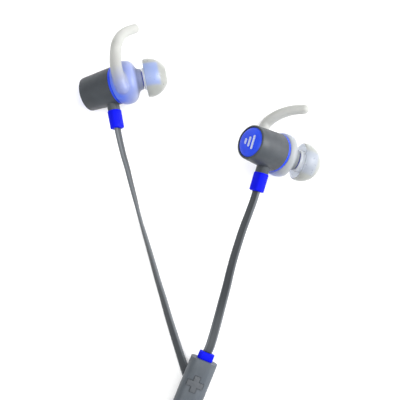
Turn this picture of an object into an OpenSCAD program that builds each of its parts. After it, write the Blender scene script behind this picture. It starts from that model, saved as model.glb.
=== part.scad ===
// Wireless neckband earphones lying on a table: two earbuds, flat cable and an inline remote.
// Millimetres, +Z up, origin at the middle of the footprint on the table.

/* [Earbuds] */
// Diameter of the barrel where it meets the front ring
barrel_front_d = 13; // [12.8:0.1:13.6]
// Diameter of the barrel at the cap end
barrel_back_d = 11.6; // [11.4:0.1:12.2]
// Length of the barrel
barrel_length = 11.8; // [11.4:0.1:12.6]
// Diameter of the blue end cap
cap_d = 10.1; // [9.6:0.1:10.2]
// Diameter of the sound nozzle
nozzle_d = 5.2; // [5:0.1:5.4]
// Widest diameter of the silicone ear tip
ear_tip_d = 13; // [11:0.1:13.4]
// Thickness of the ear hook's wing at its root
wing_root_d = 4.2; // [3:0.1:4.6]
// Thickness of the ear hook's wing at its free end
wing_end_d = 3.3; // [2.4:0.1:3.6]

/* [Cable] */
// Width of the flat cable
cable_w = 3.2; // [2.8:0.1:3.4]
// Thickness of the flat cable
cable_t = 1.2; // [1:0.1:1.3]

/* [Remote] */
// Length of the remote between its collars
remote_length = 56; // [54:0.5:60]
// Width of the remote
remote_w = 9.4; // [9.2:0.1:10.4]
// Thickness of the remote
remote_h = 7.6; // [7.4:0.1:8.4]
// Length of the plus mark's arms
plus_w = 5.6; // [5:0.1:6]
// Depth that a button can be pressed
button_travel = 0.35; // [0.2:0.05:0.4]

/* [Hidden] */
$fn = 64;

left = 0;
right = 1;
fit_gap = 0.05;   // between parts that are pressed or glued together
move_gap = 0.12;  // between parts that slide or turn

// Where each earbud lies: the centre of its front ring, then heading, tilt from +Z and roll
bud_at = [[-27.6, 63.5, 9.95], [24.7, 40.7, 16.8]];
bud_heading = [14.5, -20];
bud_tilt = [66, 132];
bud_roll = [-8.6, -5.3];

// Earbud lengths along its axis, from the front ring: + towards the ear, - towards the cap
cap_seat_depth = 1.4;
cap_proud = 0.35;
ring_thickness = 0.9;
nozzle_root = 7.4;
nozzle_end = 11.8;
tip_rear = 10;
tip_length = 7.3;
cavity_r = 4.9;
stem_z = -2.9;
stem_end = 8.1;
relief_end = 14.3;
stem_size = [4.8, 3.6];
relief_size = [5.2, 4];

// The nozzle leans inwards from the barrel's axis, on a bend between these two places along it
nozzle_lean = 25;
bend_start = 1.5;
bend_end = 7;
bend_r = (bend_end - bend_start) / (nozzle_lean * PI / 180);
bent_sides = 56;

// Speaker driver
driver_r = 4.5;
driver_back = -1.4;
driver_front = 2;
magnet_r = 2;
gap_outer_r = 2.6;

// Centre line of the wing: [along the axis, up, outwards]
wing_route = [[4.9, -3, 6.2], [5, 0.3, 7.8], [5.8, 4.5, 11.8], [6.9, 9, 13.8], [7.8, 13, 11],
              [9.3, 16, 7], [11.1, 17.6, 3]];
// How each side's soft wing lies bent at those points: [forwards along the axis, up]
wing_flex = [
    [[0, 0], [0, 0], [1.15, -0.3], [2.3, -0.6], [1.9, -1.1], [1.2, -1.6], [0.55, -1.8]],
    [[0, 0], [0, 0], [-0.5, 0.4], [-0.95, 0.8], [-0.75, 0.8], [-0.35, 0.7], [0, 0.6]]
];

// Remote: centre, yaw and pitch; its lower end touches the table and a cable passes under the rest
remote_yaw = -22;
remote_pitch = 2.5;
remote_top = [1.7, -29.3];
remote_lift = remote_h / 2 * cos(remote_pitch) + remote_length / 2 * sin(remote_pitch);
remote_at = [remote_top.x + remote_length / 2 * sin(remote_yaw),
             remote_top.y - remote_length / 2 * cos(remote_yaw), remote_lift];
shell_wall = 1;
shell_r = 3;
plus_y = remote_length / 2 - 8.3;
power_y = plus_y - 12;
minus_y = plus_y - 24;
light_y = plus_y - 18;
microphone_y = minus_y - 7;
usb_y = -16;
usb_cover_h = 3.4;
label_size = [3, 16];
label_y = 12 - remote_length / 2;
mark_w = 1.9;
button_proud = 0.35;
board_top = 0.9;
board_size = [6.2, 50, 0.8];
switch_h = 0.7;
collar_size = [5.4, 3.4];
collar_out = 2.7;

// Flat cable: [x, y, z, lean], lean 0 lying flat and 90 standing on its edge
right_route = [
    [18.7, 27.9, 19.7, 48], [17.8, 24.9, 19.95, 48], [16.1, 20.2, 19.2, 46], [14.4, 15.4, 16.9, 43],
    [12.9, 10.4, 13.8, 40], [11.5, 5.4, 10.9, 37], [10.3, 0.4, 8, 33], [9.2, -4.6, 5.9, 28],
    [7.9, -9.6, 4.7, 22], [6.6, -14.6, 4.5, 15], [5.2, -19.6, 5.5, 8], [3.8, -24.1, 6.4, 0],
    [2.7, -26.8, 6.4, 0]
];
left_route = [
    [-27.5, 49.1, 10.7, -66], [-26.85, 45.9, 11.1, -67], [-25.6, 40.4, 10.2, -70], [-24.3, 35.4, 8, -73],
    [-23.2, 30.4, 5.6, -78], [-22, 25.4, 3.8, -83], [-20.7, 19.9, 2.5, -92], [-19.2, 14.4, 1.9, -100],
    [-17.7, 9.4, 1.75, -106], [-16, 3.4, 1.65, -113], [-14.3, -2.6, 1.6, -118],
    [-12.5, -8.6, 1.55, -126], [-10.5, -15.6, 1.45, -134], [-8.2, -23.1, 1.4, -141],
    [-6, -30.1, 1.3, -148], [-3.7, -37.1, 0.95, -170], [-1.6, -43.6, 0.75, -185],
    [0.4, -49.6, 1.3, -220], [3.1, -54.6, 1.9, -258], [7.2, -59, 2.8, -242], [12.7, -61.3, 4, -196],
    [18.7, -61.7, 4.3, -180], [25.2, -61.8, 4, -202], [31.2, -63.1, 2.9, -246], [35.7, -66.1, 2.2, -268]
];
return_route = [
    [25.2, -93.4, 2, -270], [17.2, -93.8, 1.8, -270], [9.2, -95.2, 1.7, -270], [1.2, -97.6, 1.7, -270],
    [-6.8, -100.4, 1.7, -270], [-13.8, -101.9, 1.7, -268], [-19.3, -100.8, 1.7, -264],
    [-22.8, -97.2, 2, -250], [-23.5, -92.6, 2.7, -222], [-22.1, -88.2, 3.5, -190],
    [-20.4, -83.7, 3.7, -180]
];
coil_at = [25.2, -75.6];
coil_inner_r = 14.7;
coil_outer_r = 18.5;
coil_bottom = 0.45;
coil_top = 3.55;
tie_w = 5;
tie_t = 0.4;
cable_sides = 8;
ring_gap = 2.3 * cable_w;

// --- helpers ---------------------------------------------------------------------------------

// Catmull-Rom point between the second and third of four points
function spline(a, b, c, d, t) =
    0.5 * (2 * b + (c - a) * t + (2 * a - 5 * b + 4 * c - d) * t * t
    + (3 * b - a - 3 * c + d) * t * t * t);
function route_at(route, i, t) =
    spline(route[max(i - 1, 0)], route[i], route[i + 1], route[min(i + 2, len(route) - 1)], t);
function place(p) = [p[0], p[1], p[2]];
function unit(v) = v / norm(v);
// The route cut into steps of about one ring gap
function route_rings(route) = [
    for (i = [0 : len(route) - 2])
        let (steps = max(1, round(norm(place(route[i + 1] - route[i])) / ring_gap)))
            for (k = [0 : steps - 1]) route_at(route, i, k / steps),
    route[len(route) - 1]
];
function ring_direction(rings, i) =
    unit(place(rings[min(i + 1, len(rings) - 1)]) - place(rings[max(i - 1, 0)]));
// Corners of the flat cable's cross-section, with its narrow sides rounded
function cable_corners() = [
    for (k = [0 : cable_sides - 1])
        let (turn = 360 * (k + 0.5) / cable_sides)
            [sign(cos(turn)) * (cable_w - cable_t) / 2 + cable_t / 2 * cos(turn) / cos(22.5),
             cable_t / 2 * sin(turn) / cos(22.5)]
];
function cable_ring(at, along, lean) =
    let (side = unit(cross([0, 0, 1], along)),
         over = cross(along, side),
         wide = side * cos(lean) + over * sin(lean),
         thin = over * cos(lean) - side * sin(lean))
    [for (c = cable_corners()) at + wide * c[0] + thin * c[1]];

module flat_cable(route) {
    rings = route_rings(route);
    last = len(rings) - 1;
    points = [for (i = [0 : last])
        each cable_ring(place(rings[i]), ring_direction(rings, i), rings[i][3])];
    walls = [for (i = [0 : last - 1]) for (k = [0 : cable_sides - 1])
        let (next = (k + 1) % cable_sides, a = i * cable_sides, b = a + cable_sides)
            each [[a + k, b + k, b + next], [a + k, b + next, a + next]]];
    start = [for (k = [0 : cable_sides - 1]) k];
    end = [for (k = [cable_sides - 1 : -1 : 0]) last * cable_sides + k];
    polyhedron(points, concat([start], walls, [end]));
}

module rounded_outline(size, r) {
    for (x = [-1, 1], y = [-1, 1])
        translate([x * (size.x / 2 - r), y * (size.y / 2 - r)]) circle(r);
    square([size.x, size.y - 2 * r], center = true);
    square([size.x - 2 * r, size.y], center = true);
}

// Puts an earbud, drawn along +Z with its stem towards -Y, where it lies; the right one is mirrored
module in_bud(side) {
    translate(bud_at[side])
        rotate([0, 0, bud_heading[side]])
            rotate([0, bud_tilt[side], 0])
                rotate([0, 0, bud_roll[side]])
                    if (side == right) mirror([1, 0, 0]) children();
                    else children();
}

// Puts a piece of the remote, drawn flat with its top end towards +Y, where it lies
module in_remote() {
    translate(remote_at) rotate([0, 0, remote_yaw]) rotate([remote_pitch, 0, 0]) children();
}

// Where a point of a straight nozzle goes when the nozzle leans towards +X
function bent(p) =
    let (lean = nozzle_lean * min(max((p.z - bend_start) / (bend_end - bend_start), 0), 1),
         past = max(p.z - bend_end, 0))
    [bend_r * (1 - cos(lean)) + p.x * cos(lean) + past * sin(lean), p.y,
     min(p.z, bend_start) + bend_r * sin(lean) - p.x * sin(lean) + past * cos(lean)];

// The solid that a closed [radius, height] outline makes round the leaning nozzle's axis
module bent_lathe(outline) {
    count = len(outline);
    points = [for (k = [0 : bent_sides - 1]) for (p = outline)
        let (turn = 360 * k / bent_sides) bent([p[0] * cos(turn), p[0] * sin(turn), p[1]])];
    faces = [for (k = [0 : bent_sides - 1]) for (i = [0 : count - 1])
        let (here = k * count, there = ((k + 1) % bent_sides) * count, j = (i + 1) % count)
            each [[here + i, here + j, there + j], [here + i, there + j, there + i]]];
    polyhedron(points, faces);
}

// Puts a piece drawn on the straight nozzle, beyond its bend, on the leaning one
module on_nozzle() {
    translate(bent([0, 0, bend_end])) rotate([0, nozzle_lean, 0]) translate([0, 0, -bend_end]) children();
}

// A flattened tube towards -Y from y = -start to y = -finish
module stem_block(size, start, finish, r) {
    translate([0, -start, stem_z]) rotate([90, 0, 0])
        linear_extrude(finish - start) rounded_outline(size, r);
}

// --- earbud ----------------------------------------------------------------------------------

module barrel() {
    front_r = barrel_front_d / 2;
    back_r = barrel_back_d / 2;
    rim = 0.55;
    color("#565b60") difference() {
        union() {
            rotate_extrude() polygon([
                [0, 0], [front_r, 0], [back_r, -barrel_length + rim],
                [back_r - 0.2 * rim, -barrel_length + 0.3 * rim],
                [back_r - 0.6 * rim, -barrel_length], [0, -barrel_length]
            ]);
            stem_block(stem_size, 4.6, stem_end, 1.8);
        }
        translate([0, 0, -barrel_length + cap_seat_depth]) cylinder(h = barrel_length, r = cavity_r);
        translate([0, 0, -barrel_length - 1])
            cylinder(h = cap_seat_depth + 1.01, d = cap_d + 2 * fit_gap);
        stem_block([3.4, 1.4], 3, stem_end + 1, 0.6);
    }
}

module cap() {
    face = -barrel_length - cap_proud;
    r = cap_d / 2;
    color("#1c3cf0") rotate_extrude() polygon([
        [0, face], [r - 1, face], [r - 0.3, face + 0.35], [r, face + 0.7],
        [r, -barrel_length + cap_seat_depth - fit_gap], [0, -barrel_length + cap_seat_depth - fit_gap]
    ]);
}

// Three round-ended bars of rising height
module emblem() {
    bar_w = 0.9;
    heights = [2, 3.4, 4.8];
    color("#c9d2ee") for (i = [0 : 2])
        translate([(i - 1) * 1.7, 0, -barrel_length - cap_proud - 0.15])
            linear_extrude(0.15) {
                for (end = [-1, 1]) translate([0, end * (heights[i] - bar_w) / 2]) circle(d = bar_w);
                square([bar_w, heights[i] - bar_w], center = true);
            }
}

module front_housing() {
    ring_r = barrel_front_d / 2;
    nozzle_r = nozzle_d / 2;
    bore_r = nozzle_r - 0.8;
    cavity = driver_r + 2 * fit_gap;
    color("#2546f2") bent_lathe([
        [cavity_r - fit_gap, -1.6], [cavity_r - fit_gap, 0.02], [ring_r, 0.02],
        [ring_r, ring_thickness], [ring_r - 0.8, ring_thickness], [ring_r - 0.9, 2], [ring_r - 0.9, 3.2],
        [ring_r - 1.5, 4.8], [ring_r - 2.6, 6.2], [nozzle_r + 0.3, nozzle_root], [nozzle_r, nozzle_root],
        [nozzle_r, 10], [nozzle_r + 0.25, 10.2], [nozzle_r + 0.25, 10.6], [nozzle_r, 11.2],
        [nozzle_r, nozzle_end], [bore_r, nozzle_end], [bore_r, bend_end], [bore_r, 6.2], [2.6, 5],
        [3.6, 3.8], [cavity, 2.6], [cavity, -1.6]
    ]);
}

module nozzle_mesh() {
    color("#8f949a") on_nozzle() translate([0, 0, nozzle_end - 0.5])
        cylinder(h = 0.25, r = nozzle_d / 2 - 0.8 - fit_gap);
}

// Silicone sleeve over the front housing
module hook_sleeve() {
    ring_r = barrel_front_d / 2;
    nozzle_r = nozzle_d / 2;
    bent_lathe([
        [ring_r - 0.7, ring_thickness + fit_gap], [ring_r + 0.3, ring_thickness + fit_gap],
        [ring_r + 0.7, 1.7], [ring_r + 0.85, 2.8], [ring_r + 0.8, 4], [ring_r + 0.55, 5.2],
        [ring_r - 0.1, 6.2], [ring_r - 1.2, 6.9], [nozzle_r + 1.5, 7.4], [nozzle_r + 1, 8],
        [nozzle_r + 0.9, 9.1], [nozzle_r + 0.1, 9.1],
        [nozzle_r + 0.1, nozzle_root + 0.1], [nozzle_r + 0.4, nozzle_root + 0.1],
        [ring_r - 2.45, 6.3], [ring_r - 1.35, 4.85], [ring_r - 0.75, 3.25], [ring_r - 0.75, 2]
    ]);
}

// Wing of the ear hook: a smooth round-ended arm, kept outside the front housing
module wing(side) {
    last = len(wing_route) - 1;
    clear_r = barrel_front_d / 2 - 0.65;
    color("#dfe6f2") difference() {
        for (i = [0 : last - 1]) hull() for (k = [i, i + 1]) {
            p = wing_route[k];
            flex = wing_flex[side][k];
            translate([-p[2], p[1] + flex[1], p[0] + flex[0]])
                sphere(d = wing_root_d + (wing_end_d - wing_root_d) * k / last, $fn = 24);
        }
        cylinder(h = 20, r = clear_r, center = true);
        bent_lathe([
            [0, 0], [clear_r, 0], [clear_r, 3.25], [clear_r - 0.6, 4.85], [clear_r - 1.65, 6.3],
            [clear_r - 3.05, 7.6], [0, 7.6]
        ]);
    }
}

module ear_hook(side) {
    color("#dfe6f2") hook_sleeve();
    wing(side);
}

module ear_tip() {
    r = ear_tip_d / 2;
    bore_r = nozzle_d / 2 + 0.3;
    wall = 0.7;
    color("#d6d8d6") on_nozzle() translate([0, 0, tip_rear]) rotate_extrude() polygon([
        [bore_r, -0.7], [bore_r + 0.9, -0.7], [bore_r + 0.9, 3.9], [bore_r + 1.3, 4.4],
        [r - 1.5, 3.7], [r - 0.9, 2.5], [r - wall, 0], [r - 0.2, 0],
        [r, 0.8], [r, 2], [r - 0.5, 3.8], [r - 1.6, 5.5], [r - 3, 6.6],
        [2.4, tip_length], [1.9, tip_length - 0.3], [1.9, 2.6], [bore_r, 2.4]
    ]);
}

module strain_relief() {
    color("#1428e0") stem_block(relief_size, stem_end, relief_end, 1.9);
}

module cable_clamp() {
    color("#9a9da1") translate([0, -3.5, stem_z]) rotate([90, 0, 0])
        linear_extrude(1.5, center = true) difference() {
            rounded_outline([4, 2.6], 0.6);
            square([3.3, 1.3], center = true);
        }
}

// --- driver ----------------------------------------------------------------------------------

module driver_frame() {
    color("#3c4046") difference() {
        translate([0, 0, driver_back]) cylinder(h = driver_front - driver_back, r = driver_r);
        translate([0, 0, driver_back + 0.5]) cylinder(h = 10, r = driver_r - 0.5);
        translate([0, 0, driver_back - 1]) cylinder(h = 3, r = 1);
    }
}

module driver_yoke() {
    color("#b4b8bd") difference() {
        translate([0, 0, driver_back + 0.55]) cylinder(h = 1.85, r = gap_outer_r + 0.4);
        translate([0, 0, driver_back + 1]) cylinder(h = 3, r = gap_outer_r);
    }
}

module driver_magnet() {
    color("#6f7479") translate([0, 0, driver_back + 1]) cylinder(h = 1, r = magnet_r);
}

module pole_plate() {
    color("#c4c8cc") translate([0, 0, driver_back + 2]) cylinder(h = 0.4, r = magnet_r);
}

// Domed diaphragm with its voice coil in the magnet gap
module diaphragm() {
    coil_r = (magnet_r + gap_outer_r) / 2;
    color("#cfd6de") {
        rotate_extrude() polygon([
            [0, 1.75], [1.2, 1.65], [coil_r, 1.3], [3, 1.5], [3.85, 1.3], [3.85, 1.4], [3, 1.62],
            [coil_r + 0.02, 1.42], [1.2, 1.77], [0, 1.87]
        ]);
        difference() {
            translate([0, 0, 0.2]) cylinder(h = 1.15, r = coil_r + 0.12);
            cylinder(h = 3, r = coil_r - 0.1);
        }
    }
}

// --- remote ----------------------------------------------------------------------------------

module remote_solid(inset) {
    rotate([90, 0, 0]) linear_extrude(remote_length - 2 * inset, center = true)
        rounded_outline([remote_w - 2 * inset, remote_h - 2 * inset], shell_r - inset);
}

module plus_outline(grow) {
    square([plus_w + 2 * grow, mark_w + 2 * grow], center = true);
    square([mark_w + 2 * grow, plus_w + 2 * grow], center = true);
}

module minus_outline(grow) {
    square([plus_w + 2 * grow, mark_w + 2 * grow], center = true);
}

module power_outline(grow) {
    circle(d = plus_w - 0.4 + 2 * grow);
}

module usb_cover_pocket(gap) {
    translate([-remote_w / 2 - 1, usb_y - 4.6 - gap, -usb_cover_h / 2 - gap])
        cube([1.7 + gap, 9.2 + 2 * gap, usb_cover_h + 2 * gap]);
}

module cable_mouths() {
    for (end = [-1, 1]) translate([0, end * remote_length / 2, 0])
        cube([4.2, 2 * shell_wall + 1, 2.4], center = true);
}

module shell_hollow() {
    difference() {
        remote_solid(0);
        remote_solid(shell_wall);
        cable_mouths();
        usb_cover_pocket(move_gap);
        translate([-remote_w / 2, usb_y, 0]) cube([3, 7.4, 2.6], center = true);
    }
}

module remote_upper_shell() {
    color("#565b60") in_remote() difference() {
        intersection() {
            shell_hollow();
            translate([0, 0, 5.03]) cube([20, 100, 10], center = true);
        }
        for (mark = [0 : 2])
            translate([0, [plus_y, power_y, minus_y][mark], 0]) linear_extrude(10) {
                if (mark == 0) plus_outline(move_gap);
                if (mark == 1) power_outline(move_gap);
                if (mark == 2) minus_outline(move_gap);
            }
        translate([0, light_y, 0]) cylinder(h = 10, d = 1.3);
        translate([0, microphone_y, 0]) cylinder(h = 10, d = 0.8);
    }
}

module remote_lower_shell() {
    color("#4d5257") in_remote() difference() {
        intersection() {
            shell_hollow();
            translate([0, 0, -5]) cube([20, 100, 10], center = true);
        }
        translate([0, label_y, -remote_h / 2]) cube([label_size.x, label_size.y, 0.3], center = true);
    }
}

// A button: its mark through the shell, a flange under the shell and a plunger over its switch
module button(y, flange) {
    shell_top = remote_h / 2;
    flange_top = shell_top - shell_wall - fit_gap;
    plunger_bottom = board_top + switch_h + button_travel + fit_gap;
    color("#4a4f54") in_remote() translate([0, y, 0]) {
        translate([0, 0, flange_top - 0.1]) linear_extrude(shell_wall + fit_gap + 0.1 + button_proud)
            children();
        translate([0, 0, plunger_bottom]) cylinder(h = flange_top - plunger_bottom, d = 1.6);
        intersection() {
            translate([0, 0, flange_top - 0.6]) linear_extrude(1) rounded_outline(flange, 0.9);
            remote_solid(shell_wall + fit_gap);
        }
    }
}

module plus_button() button(plus_y, [6.6, 6.6]) plus_outline(0);
module power_button() button(power_y, [6.6, 6.6]) power_outline(0);
module minus_button() button(minus_y, [6.6, 3.4]) minus_outline(0);

module circuit_board() {
    color("#2f6b46") in_remote() translate([0, 0, board_top - board_size.z / 2])
        cube(board_size, center = true);
}

module button_switches() {
    color("#b9bdc2") in_remote() for (y = [plus_y, power_y, minus_y])
        translate([0, y, board_top]) {
            translate([0, 0, switch_h / 4]) cube([3, 3, switch_h / 2], center = true);
            cylinder(h = switch_h, d = 1.8);
        }
}

module wireless_module() {
    color("#a9adb2") in_remote() translate([0, minus_y - 13, board_top + 0.5])
        cube([4.6, 6.4, 1], center = true);
}

module battery() {
    color("#7d8288") in_remote() translate([0, 8, -1.3]) rotate([90, 0, 0])
        linear_extrude(30, center = true) rounded_outline([5, 2.6], 0.9);
}

module usb_socket() {
    color("#c2c6ca") in_remote() translate([-remote_w / 2 + 0.95, usb_y - 3.6, -1.15])
        difference() {
            cube([5, 7.2, 1.2]);
            translate([-1, 0.35, 0.25]) cube([4.4, 6.5, 0.7]);
        }
}

// Rubber flap in the side pocket, turning about its round lower end
module usb_cover() {
    hinge_r = 0.4;
    color("#565b60") in_remote() {
        translate([-remote_w / 2 - 0.05, usb_y - 4.2, -usb_cover_h / 2]) {
            cube([0.65, 8.8, usb_cover_h]);
            translate([hinge_r, 0, 0]) cylinder(h = usb_cover_h, r = hinge_r);
        }
    }
}

module status_light() {
    foot = 1.5;
    color("#e8eefc") in_remote() translate([0, light_y, foot]) {
        cylinder(h = remote_h / 2 + 0.05 - foot, d = 1.2);
        cylinder(h = 0.5, d = 2);
    }
}

module microphone() {
    color("#b0955a") in_remote() translate([0, microphone_y, board_top + 0.5])
        cube([2.8, 1.9, 1], center = true);
}

// Blue collar where the cable enters the remote, with a flange held between the shells
module collar(end) {
    color("#1428e0") in_remote() translate([0, end * remote_length / 2, 0]) rotate([90 * end, 0, 0]) {
        translate([0, 0, -collar_out]) linear_extrude(collar_out) rounded_outline(collar_size, 1.4);
        translate([0, 0, -0.01]) linear_extrude(shell_wall + 0.1) rounded_outline([4.1, 2.3], 1);
    }
}

module top_collar() collar(1);
module bottom_collar() collar(-1);

// --- cable -----------------------------------------------------------------------------------

module right_cord() color("#6b7075") flat_cable(right_route);
module left_cord() color("#6b7075") flat_cable(left_route);
module return_cord() color("#6b7075") flat_cable(return_route);

module cord_coil() {
    color("#6b7075") translate([coil_at.x, coil_at.y, coil_bottom]) rotate_extrude()
        translate([coil_inner_r, 0]) square([coil_outer_r - coil_inner_r, coil_top - coil_bottom]);
}

// Band round the turns of the coil
module cable_tie() {
    inner = [coil_outer_r - coil_inner_r + 0.6, coil_top - coil_bottom + 0.1];
    color("#2b2d30") translate([coil_at.x + (coil_outer_r + coil_inner_r) / 2, coil_at.y,
                                (coil_top + coil_bottom) / 2])
        rotate([90, 0, 0]) linear_extrude(tie_w, center = true) difference() {
            rounded_outline(inner + [2 * tie_t, 2 * tie_t], 0.6);
            square(inner, center = true);
        }
}

// --- nodes -----------------------------------------------------------------------------------

in_bud(left) barrel();  // left_barrel
in_bud(left) cap();  // left_cap
in_bud(left) emblem();  // left_emblem
in_bud(left) front_housing();  // left_front_housing
in_bud(left) nozzle_mesh();  // left_nozzle_mesh
in_bud(left) ear_hook(left);  // left_ear_hook
in_bud(left) ear_tip();  // left_ear_tip
in_bud(left) strain_relief();  // left_strain_relief
in_bud(left) cable_clamp();  // left_cable_clamp
in_bud(left) driver_frame();  // left_driver_frame
in_bud(left) driver_yoke();  // left_driver_yoke
in_bud(left) driver_magnet();  // left_driver_magnet
in_bud(left) pole_plate();  // left_pole_plate
in_bud(left) diaphragm();  // left_diaphragm
in_bud(right) barrel();  // right_barrel
in_bud(right) cap();  // right_cap
in_bud(right) emblem();  // right_emblem
in_bud(right) front_housing();  // right_front_housing
in_bud(right) nozzle_mesh();  // right_nozzle_mesh
in_bud(right) ear_hook(right);  // right_ear_hook
in_bud(right) ear_tip();  // right_ear_tip
in_bud(right) strain_relief();  // right_strain_relief
in_bud(right) cable_clamp();  // right_cable_clamp
in_bud(right) driver_frame();  // right_driver_frame
in_bud(right) driver_yoke();  // right_driver_yoke
in_bud(right) driver_magnet();  // right_driver_magnet
in_bud(right) pole_plate();  // right_pole_plate
in_bud(right) diaphragm();  // right_diaphragm
remote_upper_shell();
remote_lower_shell();
plus_button();
power_button();
minus_button();
circuit_board();
button_switches();
wireless_module();
battery();
usb_socket();
usb_cover();
status_light();
microphone();
top_collar();
bottom_collar();
right_cord();
left_cord();
cord_coil();
return_cord();
cable_tie();
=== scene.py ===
import math

import bmesh
import bpy
from mathutils import Matrix, Vector


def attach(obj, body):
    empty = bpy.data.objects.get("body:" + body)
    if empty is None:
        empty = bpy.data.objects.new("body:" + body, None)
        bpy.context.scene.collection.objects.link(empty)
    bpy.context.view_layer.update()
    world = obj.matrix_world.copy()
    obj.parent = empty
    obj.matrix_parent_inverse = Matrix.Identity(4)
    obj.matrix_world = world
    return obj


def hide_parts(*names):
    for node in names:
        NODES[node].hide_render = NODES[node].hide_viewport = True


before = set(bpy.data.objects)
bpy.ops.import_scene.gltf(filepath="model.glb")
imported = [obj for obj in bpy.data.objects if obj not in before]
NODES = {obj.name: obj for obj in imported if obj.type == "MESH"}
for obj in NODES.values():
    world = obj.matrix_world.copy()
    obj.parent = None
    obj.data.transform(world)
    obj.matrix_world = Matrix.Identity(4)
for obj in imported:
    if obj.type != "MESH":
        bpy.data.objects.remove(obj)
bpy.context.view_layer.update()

# Lengths in this script are in millimetres, and MM turns them into metres where a mesh is made.
MM = 0.001
SIDES = ("left", "right")

# --- placing ---------------------------------------------------------------------------------

# Where each earbud lies: the centre of its front ring, then heading, tilt from +Z and roll
BUD_PLACES = {
    "left": ((-27.6, 63.5, 9.95), 14.5, 66, -8.6),
    "right": ((24.7, 40.7, 16.8), -20, 132, -5.3),
}
# The right earbud is the mirror image of the left one
BUD_MIRROR = {"left": 1, "right": -1}

CAMERA_AT = (0.2, 24.9, 400)
VIEW_WIDTH = 137.9
SENSOR_WIDTH = 36
FLOOR_HALF = 3000
WORLD_STRENGTH = 0.63
# Area lights: where each stands, where it points, its size and its power in watts
LIGHTS = {
    "key_light": ((550, 115, 300), (0, 0, 0), 420, 5.8),
    "top_light": ((-40, 120, 620), (0, 10, 0), 500, 2.6),
    "fill_light": ((-420, -160, 360), (0, 10, 0), 420, 0.35),
}


def turn(degrees, axis):
    return Matrix.Rotation(math.radians(degrees), 4, axis)


def bud_matrix(side):
    """The earbud's own frame: z towards the ear, stem towards -y."""
    at, heading, tilt, roll = BUD_PLACES[side]
    return Matrix.Translation(Vector(at) * MM) @ turn(heading, "Z") @ turn(tilt, "Y") @ turn(roll, "Z")


# The nozzle leans from the barrel's axis towards +x, on a bend between these two places along it
NOZZLE_LEAN = math.radians(25)
BEND_START = 1.5
BEND_END = 7


def bent(x, y, z):
    """Where a point of a straight nozzle goes when the nozzle leans."""
    radius = (BEND_END - BEND_START) / NOZZLE_LEAN
    angle = NOZZLE_LEAN * min(max((z - BEND_START) / (BEND_END - BEND_START), 0), 1)
    past = max(z - BEND_END, 0)
    return Vector((
        radius * (1 - math.cos(angle)) + x * math.cos(angle) + past * math.sin(angle),
        y,
        min(z, BEND_START) + radius * math.sin(angle) - x * math.sin(angle) + past * math.cos(angle),
    ))


# --- camera, floor and light -----------------------------------------------------------------

def make_camera():
    data = bpy.data.cameras.new("camera")
    data.sensor_width = SENSOR_WIDTH
    data.lens = SENSOR_WIDTH * CAMERA_AT[2] / VIEW_WIDTH
    camera = bpy.data.objects.new("camera", data)
    camera.location = Vector(CAMERA_AT) * MM
    bpy.context.scene.collection.objects.link(camera)
    bpy.context.scene.camera = camera


def area_light(name, at, target, size, power):
    data = bpy.data.lights.new(name, "AREA")
    data.size = size * MM
    data.energy = power
    light = bpy.data.objects.new(name, data)
    light.location = Vector(at) * MM
    direction = Vector(at) - Vector(target)
    light.rotation_euler = direction.to_track_quat("Z", "Y").to_euler()
    bpy.context.scene.collection.objects.link(light)


def make_lights():
    for name, (at, target, size, power) in LIGHTS.items():
        area_light(name, at, target, size, power)
    world = bpy.data.worlds.new("studio")
    bpy.context.scene.world = world
    world.use_nodes = True
    background = world.node_tree.nodes["Background"]
    background.inputs["Color"].default_value = (1, 1, 1, 1)
    background.inputs["Strength"].default_value = WORLD_STRENGTH
    bpy.context.scene.view_settings.view_transform = "Standard"


def make_floor(material):
    half = FLOOR_HALF * MM
    mesh = bpy.data.meshes.new("floor")
    corners = [(-half, -half, 0), (half, -half, 0), (half, half, 0), (-half, half, 0)]
    mesh.from_pydata(corners, [], [(0, 1, 2, 3)])
    mesh.materials.append(material)
    floor = bpy.data.objects.new("floor", mesh)
    bpy.context.scene.collection.objects.link(floor)


# --- materials -------------------------------------------------------------------------------

def srgb(red, green, blue):
    """A colour of three 0 to 255 screen values, as linear light."""
    def linear(value):
        share = value / 255
        return share / 12.92 if share <= 0.04045 else ((share + 0.055) / 1.055) ** 2.4
    return (linear(red), linear(green), linear(blue), 1)


BLACK = (0, 0, 0, 1)
WHITE = (1, 1, 1, 1)


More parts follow.
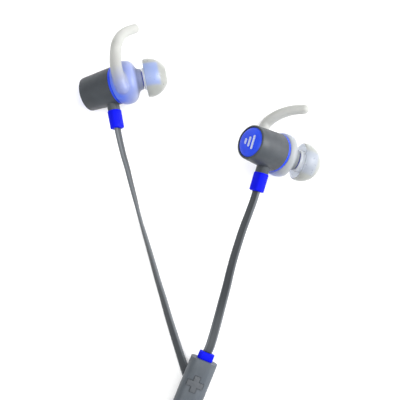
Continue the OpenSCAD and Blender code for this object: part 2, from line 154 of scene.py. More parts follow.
class Surface:
    """A material being built: one shader, with textures in the object's own coordinates."""

    def __init__(self, name, colour, roughness, metallic=0):
        self.material = bpy.data.materials.new(name)
        self.material.use_nodes = True
        self.tree = self.material.node_tree
        self.shader = self.tree.nodes["Principled BSDF"]
        self.shader.inputs["Base Color"].default_value = colour
        self.shader.inputs["Roughness"].default_value = roughness
        self.shader.inputs["Metallic"].default_value = metallic
        self.coordinates = self.node("ShaderNodeTexCoord").outputs["Object"]
        self.bump = None

    def node(self, kind, **settings):
        node = self.tree.nodes.new(kind)
        for name, value in settings.items():
            setattr(node, name, value)
        return node

    def link(self, output, target):
        self.tree.links.new(output, target)

    def set(self, **values):
        """Sets the shader's own sockets, such as coat_weight for Coat Weight."""
        names = {socket.name.lower().replace(" ", "_"): socket for socket in self.shader.inputs}
        for name, value in values.items():
            names[name].default_value = value

    def stretched(self, scales, rotation=(0, 0, 0)):
        """Coordinates in millimetres, turned and then scaled by that much along each axis."""
        mapping = self.node("ShaderNodeMapping")
        mapping.inputs["Scale"].default_value = [scale / MM for scale in scales]
        mapping.inputs["Rotation"].default_value = [math.radians(angle) for angle in rotation]
        self.link(self.coordinates, mapping.inputs["Vector"])
        return mapping.outputs["Vector"]

    def noise(self, size, detail=3, vector=None):
        """Cloudy noise whose features are about that many millimetres across."""
        texture = self.node("ShaderNodeTexNoise")
        texture.inputs["Scale"].default_value = 1 / (size * MM) if vector is None else 1 / size
        texture.inputs["Detail"].default_value = detail
        self.link(self.coordinates if vector is None else vector, texture.inputs["Vector"])
        return texture.outputs["Fac"]

    def ramp(self, factor, stops):
        """A colour that follows a 0 to 1 factor through the stops, each a position and a colour."""
        node = self.node("ShaderNodeValToRGB")
        elements = node.color_ramp.elements
        while len(elements) < len(stops):
            elements.new(0.5)
        for element, (position, colour) in zip(elements, stops):
            element.position = position
            element.color = colour
        self.link(factor, node.inputs["Fac"])
        return node.outputs["Color"]

    def base(self, colour):
        """Links a colour output to the base colour."""
        self.link(colour, self.shader.inputs["Base Color"])

    def colour_by(self, factor, stops):
        """Base colour that follows the factor through the stops."""
        self.base(self.ramp(factor, stops))

    def mixed(self, factor, first, second):
        """A colour between two, each one a colour or a node's output."""
        mix = self.node("ShaderNodeMix", data_type="RGBA")
        for value, socket in ((first, mix.inputs[6]), (second, mix.inputs[7])):
            if isinstance(value, tuple):
                socket.default_value = value
            else:
                self.link(value, socket)
        self.link(factor, mix.inputs[0])
        return mix.outputs[2]

    def mottled(self, dark, light, size):
        """Soft colour variation between two colours."""
        self.colour_by(self.noise(size), [(0.3, dark), (0.7, light)])

    def worn_roughness(self, low, high, size):
        """Roughness that wanders between two values."""
        scaled = self.node("ShaderNodeMapRange")
        scaled.inputs["From Min"].default_value = 0.3
        scaled.inputs["From Max"].default_value = 0.7
        scaled.inputs["To Min"].default_value = low
        scaled.inputs["To Max"].default_value = high
        self.link(self.noise(size, 4), scaled.inputs["Value"])
        self.link(scaled.outputs["Result"], self.shader.inputs["Roughness"])

    def raised(self, height, depth, strength=1):
        """Bump from a 0 to 1 height, that many millimetres deep. Calls add up."""
        bump = self.node("ShaderNodeBump")
        bump.inputs["Strength"].default_value = strength
        bump.inputs["Distance"].default_value = depth * MM
        self.link(height, bump.inputs["Height"])
        if self.bump is not None:
            self.link(self.bump, bump.inputs["Normal"])
        self.bump = bump.outputs["Normal"]
        self.link(self.bump, self.shader.inputs["Normal"])

    def grained(self, size, depth, strength):
        """Fine bump grain of that size and depth, in millimetres."""
        self.raised(self.noise(size, 2), depth, strength)

    def math(self, operation, first, second=None):
        """A math node on numbers or outputs."""
        node = self.node("ShaderNodeMath", operation=operation)
        for value, socket in ((first, node.inputs[0]), (second, node.inputs[1])):
            if value is None:
                continue
            if isinstance(value, (int, float)):
                socket.default_value = value
            else:
                self.link(value, socket)
        return node.outputs[0]

    def attribute(self, name, output="Fac"):
        return self.node("ShaderNodeAttribute", attribute_name=name).outputs[output]


def soft_touch_plastic(name, dark, light):
    """Moulded plastic with a matt soft-touch coat: a fine grain and faint handling marks."""
    surface = Surface(name, dark, 0.5)
    surface.mottled(dark, light, 6)
    surface.worn_roughness(0.42, 0.58, 2.5)
    surface.grained(0.09, 0.012, 0.5)
    surface.set(specular_ior_level=0.35)
    return surface.material


def vivid_blue(name, dark, light, roughness, specular):
    """Saturated moulded plastic."""
    surface = Surface(name, dark, roughness)
    surface.mottled(dark, light, 3)
    surface.worn_roughness(roughness * 0.8, roughness * 1.3, 1.5)
    surface.grained(0.25, 0.004, 0.35)
    surface.set(specular_ior_level=specular)
    return surface.material


def matte_rubber(name, dark, light):
    """Matt moulded rubber with a trace of dust."""
    surface = Surface(name, dark, 0.6)
    surface.mottled(dark, light, 1.2)
    surface.worn_roughness(0.5, 0.7, 0.8)
    surface.grained(0.12, 0.012, 0.6)
    surface.set(sheen_weight=0.15, sheen_roughness=0.4)
    return surface.material


def brushed_metal(name, dark, light, roughness):
    """Metal with fine streaks along x."""
    surface = Surface(name, dark, roughness, metallic=1)
    streaks = surface.noise(0.3, 2, surface.stretched((12, 0.6, 0.6)))
    surface.colour_by(streaks, [(0.3, dark), (0.7, light)])
    surface.worn_roughness(roughness * 0.8, roughness * 1.3, 0.6)
    surface.raised(streaks, 0.006, 0.5)
    return surface.material


def perforated_steel():
    """Woven steel screen of the sound outlet."""
    surface = Surface("steel_mesh", srgb(150, 154, 158), 0.35, metallic=1)
    cells = surface.node("ShaderNodeTexVoronoi", feature="F1")
    cells.inputs["Scale"].default_value = 1 / (0.32 * MM)
    cells.inputs["Randomness"].default_value = 0
    surface.link(surface.coordinates, cells.inputs["Vector"])
    hole = surface.ramp(cells.outputs["Distance"], [(0.28, BLACK), (0.36, WHITE)])
    surface.base(surface.mixed(hole, srgb(18, 18, 20), srgb(168, 172, 176)))
    surface.raised(hole, 0.08, 0.8)
    return surface.material


def circuit_green():
    """Solder mask over copper tracks, with bare pads."""
    surface = Surface("board_green", srgb(24, 92, 52), 0.35)
    tracks = surface.node("ShaderNodeTexBrick")
    tracks.inputs["Scale"].default_value = 1 / (3 * MM)
    tracks.inputs["Mortar Size"].default_value = 0.04
    tracks.inputs["Color1"].default_value = srgb(20, 84, 46)
    tracks.inputs["Color2"].default_value = srgb(26, 96, 56)
    tracks.inputs["Mortar"].default_value = srgb(58, 138, 84)
    surface.link(surface.coordinates, tracks.inputs["Vector"])
    pads = surface.ramp(surface.noise(0.9, 0), [(0.66, BLACK), (0.68, WHITE)])
    surface.base(surface.mixed(pads, tracks.outputs["Color"], srgb(205, 170, 90)))
    surface.raised(tracks.outputs["Fac"], 0.02, 0.6)
    surface.worn_roughness(0.25, 0.45, 1)
    return surface.material


def battery_foil():
    """Crinkled pouch foil."""
    surface = Surface("battery_foil", srgb(150, 154, 158), 0.3, metallic=0.9)
    surface.mottled(srgb(138, 142, 147), srgb(170, 174, 178), 4)
    surface.raised(surface.noise(1.6, 5), 0.12, 0.6)
    surface.worn_roughness(0.22, 0.4, 2)
    return surface.material


def cone_film():
    """Thin clear-coated film with fine ribs."""
    surface = Surface("cone_film", srgb(190, 196, 204), 0.25)
    surface.mottled(srgb(178, 184, 194), srgb(206, 212, 220), 1)
    surface.raised(surface.noise(0.3, 1, surface.stretched((1, 1, 6))), 0.03, 0.6)
    surface.worn_roughness(0.2, 0.35, 0.7)
    surface.set(coat_weight=0.4)
    return surface.material


def light_pipe():
    """Frosted clear plastic of the status light."""
    surface = Surface("light_pipe", srgb(225, 232, 250), 0.2)
    surface.mottled(srgb(214, 224, 248), srgb(236, 240, 252), 0.6)
    surface.grained(0.1, 0.01, 0.4)
    surface.worn_roughness(0.15, 0.3, 0.4)
    surface.set(transmission_weight=0.3, coat_weight=0.4)
    return surface.material


def microphone_gold():
    """Gilt can with its small sound port."""
    surface = Surface("microphone", srgb(196, 160, 84), 0.3, metallic=1)
    surface.mottled(srgb(184, 148, 76), srgb(212, 178, 102), 0.6)
    surface.grained(0.15, 0.01, 0.5)
    surface.worn_roughness(0.25, 0.4, 0.5)
    return surface.material


# Scales that draw the jacket's lines along the cable: across its UVs, along them, and unused
JACKET_LINES = (0.022, 0.00003, 0.001)


def cable_jacket():
    """Extruded flat cable: faint lines along its length, a satin skin, and both narrow edges painted
    paler than the faces as a painted highlight.
    """
    surface = Surface("cable_grey", srgb(62, 66, 70), 0.5)
    surface.coordinates = surface.node("ShaderNodeUVMap", uv_map="UVMap").outputs["UV"]
    lines = surface.noise(1, 2, surface.stretched(JACKET_LINES))
    faces = surface.ramp(lines, [(0.25, srgb(51, 54, 58)), (0.75, srgb(62, 66, 70))])
    # The narrow edges get a paler colour than the faces: a painted highlight, as where light catches the
    # round edges.
    edges = surface.ramp(lines, [(0.25, srgb(84, 88, 92)), (0.75, srgb(96, 100, 104))])
    split = surface.node("ShaderNodeSeparateXYZ")
    surface.link(surface.coordinates, split.inputs["Vector"])
    half_way_round = surface.math("FRACT", surface.math("MULTIPLY", split.outputs["X"], 2))
    edge_highlight = surface.ramp(half_way_round, [(0.48, WHITE), (0.58, BLACK), (0.96, BLACK), (1, WHITE)])
    surface.base(surface.mixed(edge_highlight, faces, edges))
    surface.raised(lines, 0.01, 0.35)
    surface.worn_roughness(0.42, 0.58, 3)
    surface.set(specular_ior_level=0.3)
    return surface.material


def tie_strap():
    """Woven black strap."""
    surface = Surface("tie_black", srgb(30, 31, 34), 0.8)
    weave = surface.node("ShaderNodeTexWave", wave_type="BANDS", bands_direction="DIAGONAL")
    weave.inputs["Scale"].default_value = 1 / (2.2 * MM)
    weave.inputs["Distortion"].default_value = 1.5
    surface.link(surface.coordinates, weave.inputs["Vector"])
    surface.colour_by(weave.outputs["Fac"], [(0, srgb(22, 23, 26)), (1, srgb(52, 54, 58))])
    surface.raised(weave.outputs["Fac"], 0.06, 0.7)
    surface.set(sheen_weight=0.4, sheen_roughness=0.5)
    return surface.material


def studio_floor():
    surface = Surface("studio_floor", srgb(253, 253, 253), 0.8)
    surface.mottled(srgb(252, 252, 252), srgb(254, 254, 254), 400)
    return surface.material


# Lengths over which the hook's tint fades, in millimetres: along the barrel, and downwards
TINT_ALONG = 12
TINT_DOWN = 14
TINT_DOWN_SHARE = 0.35
# The tint belongs to the wing's side of the sleeve, and fades over this length towards the other
TINT_ACROSS = 9
TINT_ACROSS_MIDDLE = 0.45


def silicone_hook():
    """Clear silicone: the housing's blue shows through the sleeve, and the thick wing is milky."""
    surface = Surface("silicone_hook", srgb(190, 200, 236), 0.36)
    surface.coordinates = surface.attribute("place", "Vector")
    split = surface.node("ShaderNodeSeparateXYZ")
    surface.link(surface.coordinates, split.inputs["Vector"])
    along = surface.math("MULTIPLY", split.outputs["Z"], 1 / (TINT_ALONG * MM))
    upwards = surface.math("MULTIPLY", split.outputs["Y"], TINT_DOWN_SHARE / (TINT_DOWN * MM))
    shade = surface.math("ADD", along, upwards)
    clear = surface.ramp(shade, [
        (0.0, srgb(92, 126, 240)), (0.12, srgb(90, 124, 240)), (0.32, srgb(128, 146, 216)),
        (0.55, srgb(136, 151, 206)), (0.8, srgb(158, 171, 224)),
    ])
    wing_side = surface.math("MULTIPLY", split.outputs["X"], -1 / (TINT_ACROSS * MM))
    wing_side = surface.math("ADD", wing_side, TINT_ACROSS_MIDDLE)
    sleeve = surface.mixed(wing_side, srgb(168, 172, 176), clear)
    milky = surface.mixed(surface.attribute("wing"), sleeve, srgb(184, 185, 181))
    surface.base(milky)
    surface.grained(0.5, 0.015, 0.3)
    surface.worn_roughness(0.3, 0.44, 2)
    surface.set(ior=1.41, transmission_weight=0.35, specular_ior_level=0.4)
    return surface.material


def silicone_tip():
    """Clear silicone dome with a band that takes up the nozzle's blue, and its inside painted near
    white: painted light in place of the hollow's shade.
    """
    surface = Surface("silicone_tip", srgb(190, 191, 187), 0.3)
    milky = surface.ramp(surface.noise(3), [(0.3, srgb(146, 148, 144)), (0.7, srgb(154, 156, 152))])
    dome = surface.mixed(surface.attribute("core"), milky, srgb(132, 146, 184))
    # The dome's inside is painted near white, as painted light, so that its hollow does not look shaded.
    painted_lit_inside = surface.mixed(surface.attribute("inside"), dome, srgb(236, 243, 255))
    surface.base(painted_lit_inside)
    surface.grained(0.6, 0.006, 0.3)
    surface.worn_roughness(0.26, 0.38, 2)
    surface.set(subsurface_weight=0.8, subsurface_scale=3 * MM, subsurface_radius=(1, 1, 1))
    surface.set(ior=1.41, transmission_weight=0.12, specular_ior_level=0.4)
    return surface.material


def make_materials():
    """One material for each material slot of the record."""
    return {
        "housing_grey": soft_touch_plastic("housing_grey", srgb(51, 55, 60), srgb(59, 64, 69)),
        "remote_grey": soft_touch_plastic("remote_grey", srgb(70, 76, 82), srgb(79, 85, 92)),
        "accent_blue": vivid_blue("accent_blue", srgb(24, 58, 200), srgb(34, 70, 212), 0.34, 0.25),
        "relief_blue": vivid_blue("relief_blue", srgb(1, 9, 194), srgb(3, 15, 206), 0.55, 0.1),
        "emblem_silver": brushed_metal("emblem_silver", srgb(190, 200, 230), srgb(226, 232, 246), 0.3),
        "steel_mesh": perforated_steel(),
        "silicone_hook": silicone_hook(),
        "silicone_tip": silicone_tip(),
        "driver_frame": matte_rubber("driver_frame", srgb(44, 47, 51), srgb(54, 57, 62)),
        "driver_iron": brushed_metal("driver_iron", srgb(150, 154, 160), srgb(186, 190, 196), 0.35),
        "magnet": brushed_metal("magnet", srgb(104, 108, 114), srgb(132, 136, 142), 0.4),
        "cone_film": cone_film(),
        "button_rubber": matte_rubber("button_rubber", srgb(68, 72, 77), srgb(77, 81, 86)),
        "board_green": circuit_green(),
        "metal_parts": brushed_metal("metal_parts", srgb(178, 182, 187), srgb(206, 209, 213), 0.32),
        "battery_foil": battery_foil(),
        "light_pipe": light_pipe(),
        "microphone": microphone_gold(),
        "cable_grey": cable_jacket(),
        "tie_black": tie_strap(),
    }


# --- meshes ----------------------------------------------------------------------------------

def add_piece(name, mesh, slot, body, nodes):
    """Puts a mesh in the scene for those CAD nodes, riding on that body."""
    mesh.materials.clear()
    mesh.materials.append(MATERIALS[slot])
    for polygon in mesh.polygons:
        polygon.use_smooth = True
    piece = bpy.data.objects.new(name, mesh)
    bpy.context.scene.collection.objects.link(piece)
    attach(piece, body)
    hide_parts(*nodes)
    return piece


def mesh_from(bm, name):
    mesh = bpy.data.meshes.new(name)
    bm.to_mesh(mesh)
    bm.free()
    return mesh


def applied(piece):
    """Turns the piece's modifiers into its mesh."""
    graph = bpy.context.evaluated_depsgraph_get()
    graph.update()
    mesh = bpy.data.meshes.new_from_object(piece.evaluated_get(graph))
    piece.modifiers.clear()
    piece.data = mesh
    return piece


def smooth_route(route, step):
    """Points about one step apart on the smooth curve through the route's points."""
    points = [Vector(point) for point in route]
    result = []
    for i in range(len(points) - 1):
        a = points[max(i - 1, 0)]
        b = points[i]
        c = points[i + 1]
        d = points[min(i + 2, len(points) - 1)]
        steps = max(1, round((c - b).to_3d().length / step))
        for k in range(steps):
            t = k / steps
            cubic = (3 * b - a - 3 * c + d) * t ** 3
            result.append(0.5 * (2 * b + (c - a) * t + (2 * a - 5 * b + 4 * c - d) * t * t + cubic))
    result.append(points[-1])
    return result


CORNER_STEPS = 5
# A corner's bend starts no further along its side than this share of it
CORNER_SHARE = 0.45
LATHE_STEPS = 96
TUBE_SIDES = 32


def rounded_profile(corners, radius):
    """A closed outline with each corner turned into a small smooth bend."""
    result = []
    count = len(corners)
    for i in range(count):
        before = Vector(corners[i - 1])
        corner = Vector(corners[i])
        after = Vector(corners[(i + 1) % count])
        start = corner + (before - corner) * min(CORNER_SHARE, radius / (before - corner).length)
        end = corner + (after - corner) * min(CORNER_SHARE, radius / (after - corner).length)
        for k in range(CORNER_STEPS + 1):
            t = k / CORNER_STEPS
            result.append(start * (1 - t) ** 2 + corner * 2 * t * (1 - t) + end * t * t)
    return result


def lathe(bm, profile):
    """Adds the solid that a closed [radius, height] outline makes round the bent nozzle's axis."""
    loops = []
    for k in range(LATHE_STEPS):
        angle = math.tau * k / LATHE_STEPS
        loops.append([
            bm.verts.new(bent(math.cos(angle) * r, math.sin(angle) * r, z) * MM) for r, z in profile
        ])
    count = len(profile)
    for k in range(LATHE_STEPS):
        here = loops[k]
        there = loops[(k + 1) % LATHE_STEPS]
        for i in range(count):
            j = (i + 1) % count
            bm.faces.new((here[i], here[j], there[j], there[i]))


def tube(bm, centres, radii):
    """Adds a round solid along a line, with closed ends."""
    rings = []
    side = None
    for i, centre in enumerate(centres):
        along = (centres[min(i + 1, len(centres) - 1)] - centres[max(i - 1, 0)]).normalized()
        side = along.orthogonal() if side is None else side - along * side.dot(along)
        side = side.normalized()
        over = along.cross(side)
        ring = []
        for k in range(TUBE_SIDES):
            angle = math.tau * k / TUBE_SIDES
            offset = side * math.cos(angle) + over * math.sin(angle)
            ring.append(bm.verts.new((centre + offset * radii[i]) * MM))
        rings.append(ring)
    for here, there in zip(rings, rings[1:]):
        for k in range(TUBE_SIDES):
            j = (k + 1) % TUBE_SIDES
            bm.faces.new((here[k], here[j], there[j], there[k]))
    bm.faces.new(list(reversed(rings[0])))
    bm.faces.new(rings[-1])


# --- cables ----------------------------------------------------------------------------------

# Flat cable: [x, y, z, lean], lean 0 lying flat and 90 standing on its edge
RIGHT_ROUTE = [
    (18.7, 27.9, 19.7, 48), (17.8, 24.9, 19.95, 48), (16.1, 20.2, 19.2, 46), (14.4, 15.4, 16.9, 43),
    (12.9, 10.4, 13.8, 40), (11.5, 5.4, 10.9, 37), (10.3, 0.4, 8, 33), (9.2, -4.6, 5.9, 28),
    (7.9, -9.6, 4.7, 22), (6.6, -14.6, 4.5, 15), (5.2, -19.6, 5.5, 8), (3.8, -24.1, 6.4, 0),
    (2.7, -26.8, 6.4, 0),
]
LEFT_ROUTE = [
    (-27.5, 49.1, 10.7, -66), (-26.85, 45.9, 11.1, -67), (-25.6, 40.4, 10.2, -70), (-24.3, 35.4, 8, -73),
    (-23.2, 30.4, 5.6, -78), (-22, 25.4, 3.8, -83), (-20.7, 19.9, 2.5, -92), (-19.2, 14.4, 1.9, -100),
    (-17.7, 9.4, 1.75, -106), (-16, 3.4, 1.65, -113), (-14.3, -2.6, 1.6, -118),
    (-12.5, -8.6, 1.55, -126), (-10.5, -15.6, 1.45, -134), (-8.2, -23.1, 1.4, -141),
    (-6, -30.1, 1.3, -148), (-3.7, -37.1, 0.95, -170), (-1.6, -43.6, 0.75, -185),
    (0.4, -49.6, 1.3, -220), (3.1, -54.6, 1.9, -258), (7.2, -59, 2.8, -242), (12.7, -61.3, 4, -196),
    (18.7, -61.7, 4.3, -180), (25.2, -61.8, 4, -202), (31.2, -63.1, 2.9, -246), (35.7, -66.1, 2.2, -268),
]
RETURN_ROUTE = [
    (25.2, -93.4, 2, -270), (17.2, -93.8, 1.8, -270), (9.2, -95.2, 1.7, -270), (1.2, -97.6, 1.7, -270),
    (-6.8, -100.4, 1.7, -270), (-13.8, -101.9, 1.7, -268), (-19.3, -100.8, 1.7, -264),
    (-22.8, -97.2, 2, -250), (-23.5, -92.6, 2.7, -222), (-22.1, -88.2, 3.5, -190),
    (-20.4, -83.7, 3.7, -180),
]
# The coil: its middle, how many degrees it turns, its last radius and the height of its middle
COIL_AT = Vector((25.2, -75.6))
COIL_SWEEP = 852
COIL_LAST_R = 17.7
COIL_Z = 2.0
COIL_STEPS = 60
CABLE_W = 3.2
CABLE_T = 1.2
CABLE_CROWN = 0.05
CABLE_STEP = 0.8


def coil_route():
    """Turns of the cable standing on its edge, clockwise from where the left cable comes in."""
    first = Vector(LEFT_ROUTE[-1][:2]) - COIL_AT
    first_angle = math.atan2(first.y, first.x)
    points = []
    for k in range(1, COIL_STEPS):
        share = k / COIL_STEPS
        angle = first_angle - math.radians(COIL_SWEEP) * share
        radius = first.length + (COIL_LAST_R - first.length) * share
        points.append((COIL_AT.x + radius * math.cos(angle), COIL_AT.y + radius * math.sin(angle),
                       COIL_Z, -270))
    return points


def cable_section():
    """Outline of the flat cable across its length: flat faces and half-round edges."""
    half = (CABLE_W - CABLE_T) / 2
    edge = [math.radians(angle) for angle in range(-80, 81, 20)]
    right_edge = [(half + CABLE_T / 2 * math.cos(a), CABLE_T / 2 * math.sin(a)) for a in edge]
    left_edge = [(-x, -y) for x, y in right_edge]
    top = [(half * (1 - k / 3), CABLE_T / 2 + CABLE_CROWN * math.sin(math.pi * k / 6))
           for k in range(1, 6)]
    bottom = [(-x, -y) for x, y in top]
    return right_edge + top + left_edge + bottom


def flat_cable(name, route, nodes):
    """The cable along the route. Its UVs run round it, from 0 to 1, and along it, in metres."""
    rings = smooth_route(route, CABLE_STEP)
    centres = [ring.to_3d() for ring in rings]
    section = cable_section()
    count = len(section)
    bm = bmesh.new()
    uv = bm.loops.layers.uv.new("UVMap")
    loops = []
    travelled = [0]
    for i, centre in enumerate(centres):
        along = (centres[min(i + 1, len(centres) - 1)] - centres[max(i - 1, 0)]).normalized()
        side = Vector((0, 0, 1)).cross(along).normalized()
        over = along.cross(side)
        lean = math.radians(rings[i][3])
        wide = side * math.cos(lean) + over * math.sin(lean)
        thin = over * math.cos(lean) - side * math.sin(lean)
        loops.append([bm.verts.new((centre + wide * x + thin * y) * MM) for x, y in section])
        if i:
            travelled.append(travelled[-1] + (centre - centres[i - 1]).length * MM)
    for i in range(len(loops) - 1):
        for k in range(count):
            j = (k + 1) % count
            face = bm.faces.new((loops[i][k], loops[i + 1][k], loops[i + 1][j], loops[i][j]))
            corners = ((k, i), (k, i + 1), (k + 1, i + 1), (k + 1, i))
            for loop, (across, step) in zip(face.loops, corners):
                loop[uv].uv = (across / count, travelled[step])
    bm.faces.new(loops[0])
    bm.faces.new(list(reversed(loops[-1])))
    bmesh.ops.recalc_face_normals(bm, faces=bm.faces)
    piece = add_piece(name, mesh_from(bm, name), "cable_grey", "frame", nodes)
    path = [centre * MM for centre in centres]
    return piece, path, travelled[-1]


def make_cables():
    right, path, length = flat_cable("right_cable", RIGHT_ROUTE, ["right_cord"])
    whole_route = LEFT_ROUTE + coil_route() + RETURN_ROUTE
    nodes = ["left_cord", "cord_coil", "return_cord"]
    left, path, length = flat_cable("left_cable", whole_route, nodes)


# --- silicone --------------------------------------------------------------------------------

# Sleeve of the ear hook, and the ear tip, as closed [radius, along the axis] outlines
SLEEVE_PROFILE = [
    (5.8, 0.97), (6.8, 0.97), (7.2, 1.7), (7.35, 2.8), (7.3, 4), (7.05, 5.2), (6.4, 6.2), (5.3, 6.9),
    (4.1, 7.4), (3.6, 8), (3.5, 9.1), (2.72, 9.1), (2.72, 7.55), (3.05, 7.55), (4.05, 6.3),
    (5.15, 4.85), (5.75, 3.25), (5.75, 2),
]
TIP_PROFILE = [
    (2.9, 9.3), (3.8, 9.3), (3.8, 13.9), (4.2, 14.4), (5, 13.7), (5.6, 12.5), (5.8, 10),
    (6.3, 10), (6.5, 10.8), (6.5, 12), (6, 13.8), (4.9, 15.5), (3.5, 16.6), (2.4, 17.3),
    (1.92, 17), (1.92, 12.6), (2.9, 12.4),
]
# Centre line of the wing: [along the axis, up, outwards]
WING_ROUTE = [
    (4.9, -3, 6.2), (5, 0.3, 7.8), (5.8, 4.5, 11.8), (6.9, 9, 13.8), (7.8, 13, 11), (9.3, 16, 7),
    (11.1, 17.6, 3),
]
# How each side's soft wing lies bent at those points: [forwards along the axis, up]
WING_FLEX = {
    "left": [(0, 0), (0, 0), (1.15, -0.3), (2.3, -0.6), (1.9, -1.1), (1.2, -1.6), (0.55, -1.8)],
    "right": [(0, 0), (0, 0), (-0.5, 0.4), (-0.95, 0.8), (-0.75, 0.8), (-0.35, 0.7), (0, 0.6)],
}
WING_ROOT_R = 2.1
WING_END_R = 1.65
WING_STEP = 0.5
# The wing's round ends: how many rings, how many degrees apart, and how many degrees short of the
# pole the last one stays, so that it keeps a size
WING_END_RINGS = 6
WING_END_DEGREES = 15
WING_END_SHORT = 1
# The wing's root keeps at least this far from the barrel's axis, out of the sleeve's bore
WING_CLEAR_R = 6.1
# The hook's milky wing tint: full this near the wing's line, and none that much further out
WING_TINT_NEAR = 2
WING_TINT_FADE = 1.1
# It is weaker at the wing's root: how much at the least, and where it starts to fade and how fast
ROOT_TINT = 0.3
ROOT_TINT_Y = -5
ROOT_TINT_FADE = 8
HOOK_VOXEL = 0.22
HOOK_SLEEVE_ROUNDING = 0.5
HOOK_SMOOTHING = 5
TIP_ROUNDING = 0.8
# The tip's blue band: its half width, where it ends along the axis, how softly it ends, and how
# strong it is on the +x side
BAND_HALF_WIDTH = 4.2
BAND_END_Z = 15.2
BAND_FADE = 0.8
BAND_FAR_SIDE = 0.3
# Everything nearer the tip's axis than this is the inside of its dome, which the tip's material paints
# bright as painted light
HOLLOW_R = 6
# The dome's hollow narrows by this much for each millimetre past the first of these heights, and
# ends at the second
HOLLOW_TAPER = 0.7
HOLLOW_TAPER_Z = 12.4
HOLLOW_END_Z = 14.5


def wing_line(side):
    """Centre line of the wing in the earbud's frame."""
    points = [(-out, up + upwards, along + forwards)
              for (along, up, out), (forwards, upwards) in zip(WING_ROUTE, WING_FLEX[side])]
    return smooth_route(points, WING_STEP)


def share_of(value):
    """The value, kept between 0 and 1."""
    return min(1, max(0, value))


def add_wing(bm, line):
    """A tapering arm with round ends, kept out of the sleeve's bore."""
    end_angles = [math.radians(WING_END_DEGREES * k - WING_END_SHORT)
                  for k in range(1, WING_END_RINGS + 1)]
    last = len(line) - 1
    centres = list(line)
    radii = [WING_ROOT_R + (WING_END_R - WING_ROOT_R) * i / last for i in range(last + 1)]
    for end, inner in ((0, 1), (-1, -2)):
        out = (line[end] - line[inner]).normalized()
        for angle in end_angles:
            centre = line[end] + out * radii[end] * math.sin(angle)
            if end == 0:
                centres.insert(0, centre)
            else:
                centres.append(centre)
    root_radii = [WING_ROOT_R * math.cos(angle) for angle in reversed(end_angles)]
    radii = root_radii + radii + [WING_END_R * math.cos(angle) for angle in end_angles]
    first = len(bm.verts)
    tube(bm, centres, radii)
    bm.verts.ensure_lookup_table()
    for vert in bm.verts[first:]:
        flat = Vector((vert.co.x, vert.co.y))
        if 0 < flat.length < WING_CLEAR_R * MM:
            flat *= WING_CLEAR_R * MM / flat.length
            vert.co.x, vert.co.y = flat


def straightened(point):
    """Where a point beyond the bend would be on a straight nozzle."""
    start = bent(0, 0, BEND_END)
    across = bent(1, 0, BEND_END) - start
    along = bent(0, 0, BEND_END + 1) - start
    return Vector(((point - start).dot(across), point.y, BEND_END + (point - start).dot(along)))


def distance_to_line(point, line):
    """Distance from the nearest of the line's points."""
    return min((point - centre).length for centre in line)


def ear_hook(side):
    """The silicone hook: the sleeve and the wing grown together."""
    line = wing_line(side)
    bm = bmesh.new()
    lathe(bm, rounded_profile(SLEEVE_PROFILE, HOOK_SLEEVE_ROUNDING))
    add_wing(bm, line)
    bmesh.ops.recalc_face_normals(bm, faces=bm.faces)
    piece = add_piece(side + "_hook", mesh_from(bm, side + "_hook"), "silicone_hook", "frame",
                      [side + "_ear_hook"])
    merge = piece.modifiers.new("merge", "REMESH")
    merge.mode = "VOXEL"
    merge.voxel_size = HOOK_VOXEL * MM
    blend = piece.modifiers.new("blend", "SMOOTH")
    blend.factor = 0.5
    blend.iterations = HOOK_SMOOTHING
    applied(piece)
    mark = piece.data.attributes.new("wing", "FLOAT", "POINT")
    for vert, value in zip(piece.data.vertices, mark.data):
        point = vert.co / MM
        past = distance_to_line(point, line) - WING_TINT_NEAR
        above_root = share_of((point.y - ROOT_TINT_Y) / ROOT_TINT_FADE)
        value.value = share_of(1 - past / WING_TINT_FADE) * max(ROOT_TINT, above_root)
    finish_bud_piece(piece, side)


def ear_tip(side):
    """The silicone tip, with the marks that its material is tinted by: the blue band, and the inside,
    which is painted bright as painted light.
    """
    bm = bmesh.new()
    lathe(bm, rounded_profile(TIP_PROFILE, TIP_ROUNDING))
    bmesh.ops.recalc_face_normals(bm, faces=bm.faces)
    piece = add_piece(side + "_tip", mesh_from(bm, side + "_tip"), "silicone_tip", side + "_tip",
                      [side + "_ear_tip"])
    core = piece.data.attributes.new("core", "FLOAT", "POINT")
    inside = piece.data.attributes.new("inside", "FLOAT", "POINT")
    for vert, core_value, inside_value in zip(piece.data.vertices, core.data, inside.data):
        x, y, z = straightened(vert.co / MM)
        band = share_of((BAND_HALF_WIDTH - abs(y)) / BAND_FADE) * (1 if x < 0 else BAND_FAR_SIDE)
        core_value.value = band * share_of((BAND_END_Z - z) / BAND_FADE)
        # The inside mark: where the material paints the dome's hollow bright, as painted light.
        hollow_r = HOLLOW_R - HOLLOW_TAPER * max(0, z - HOLLOW_TAPER_Z)
        inside_value.value = 1 if z < HOLLOW_END_Z and math.hypot(x, y) < hollow_r else 0
    finish_bud_piece(piece, side)


def finish_bud_piece(piece, side):
    """Moves a mesh drawn in the left earbud's frame to its own earbud, and keeps its first places."""
    place = piece.data.attributes.new("place", "FLOAT_VECTOR", "POINT")
    for vert, value in zip(piece.data.vertices, place.data):
        value.vector = vert.co
    if BUD_MIRROR[side] < 0:
        piece.data.transform(Matrix.Diagonal((-1, 1, 1, 1)))
        piece.data.flip_normals()
    piece.data.transform(bud_matrix(side))
    for polygon in piece.data.polygons:
        polygon.use_smooth = True


# --- moulded parts ---------------------------------------------------------------------------

# Each earbud's nodes with rounded edges: material slot, and how wide the rounding is
SOFTENED = {
    "barrel": ("housing_grey", 0.25),
    "cap": ("accent_blue", 0.15),
    "strain_relief": ("relief_blue", 0.35),
    "front_housing": ("accent_blue", 0.1),
}
# Points of the CAD mesh nearer than this are one, flat neighbours within this angle are one face,
# and edges sharper than this are rounded
SAME_POINT = 0.002
FLAT_DEGREES = 0.5
SHARP_DEGREES = 32


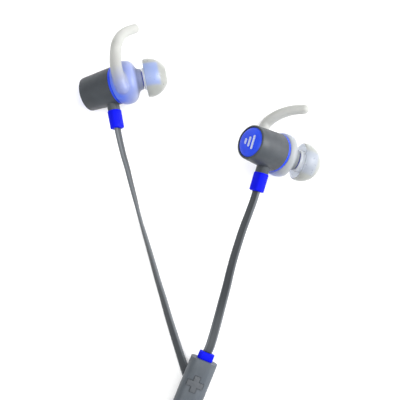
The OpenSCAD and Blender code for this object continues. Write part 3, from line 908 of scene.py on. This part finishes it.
def softened(node, slot, body, width):
    """A copy of a CAD node with rounded edges, which stands for it."""
    bm = bmesh.new()
    bm.from_mesh(NODES[node].data)
    bmesh.ops.remove_doubles(bm, verts=bm.verts, dist=SAME_POINT * MM)
    bmesh.ops.dissolve_limit(
        bm, angle_limit=math.radians(FLAT_DEGREES), verts=bm.verts, edges=bm.edges
    )
    piece = add_piece(node + "_moulded", mesh_from(bm, node + "_moulded"), slot, body, [node])
    bevel = piece.modifiers.new("edges", "BEVEL")
    bevel.width = width * MM
    bevel.segments = 3
    bevel.limit_method = "ANGLE"
    bevel.angle_limit = math.radians(SHARP_DEGREES)
    bevel.use_clamp_overlap = True
    bevel.harden_normals = True
    return applied(piece)


def make_moulded_parts():
    """Every hard part with rounded edges. Returns the cable tie."""
    for side in SIDES:
        for part, (slot, width) in SOFTENED.items():
            softened(side + "_" + part, slot, "frame", width)
    for shell in ("upper", "lower"):
        softened("remote_" + shell + "_shell", "remote_grey", "frame", 0.12)
    for end in ("top", "bottom"):
        softened(end + "_collar", "relief_blue", "frame", 0.25)
    for button in ("plus", "power", "minus"):
        softened(button + "_button", "button_rubber", button + "_key", 0.1)
    softened("usb_cover", "button_rubber", "usb_flap", 0.15)
    return softened("cable_tie", "tie_black", "frame", 0.12)


# CAD nodes that keep their shape and take a detailed material
KEPT = {
    "emblem": "emblem_silver",
    "nozzle_mesh": "steel_mesh",
    "cable_clamp": "metal_parts",
    "driver_frame": "driver_frame",
    "driver_yoke": "driver_iron",
    "driver_magnet": "magnet",
    "pole_plate": "driver_iron",
    "diaphragm": "cone_film",
}
KEPT_IN_REMOTE = {
    "circuit_board": "board_green",
    "button_switches": "metal_parts",
    "wireless_module": "metal_parts",
    "battery": "battery_foil",
    "usb_socket": "metal_parts",
    "status_light": "light_pipe",
    "microphone": "microphone",
}


def dress(node, slot):
    """Gives a CAD node its material."""
    mesh = NODES[node].data
    mesh.materials.clear()
    mesh.materials.append(MATERIALS[slot])


def dress_kept_nodes():
    for part, slot in KEPT.items():
        for side in SIDES:
            dress(side + "_" + part, slot)
    for node, slot in KEPT_IN_REMOTE.items():
        dress(node, slot)


# --- scene -----------------------------------------------------------------------------------

make_camera()
make_lights()
MATERIALS = make_materials()
make_floor(studio_floor())
tie_piece = make_moulded_parts()
make_cables()
for bud_side in SIDES:
    ear_hook(bud_side)
    ear_tip(bud_side)
dress_kept_nodes()
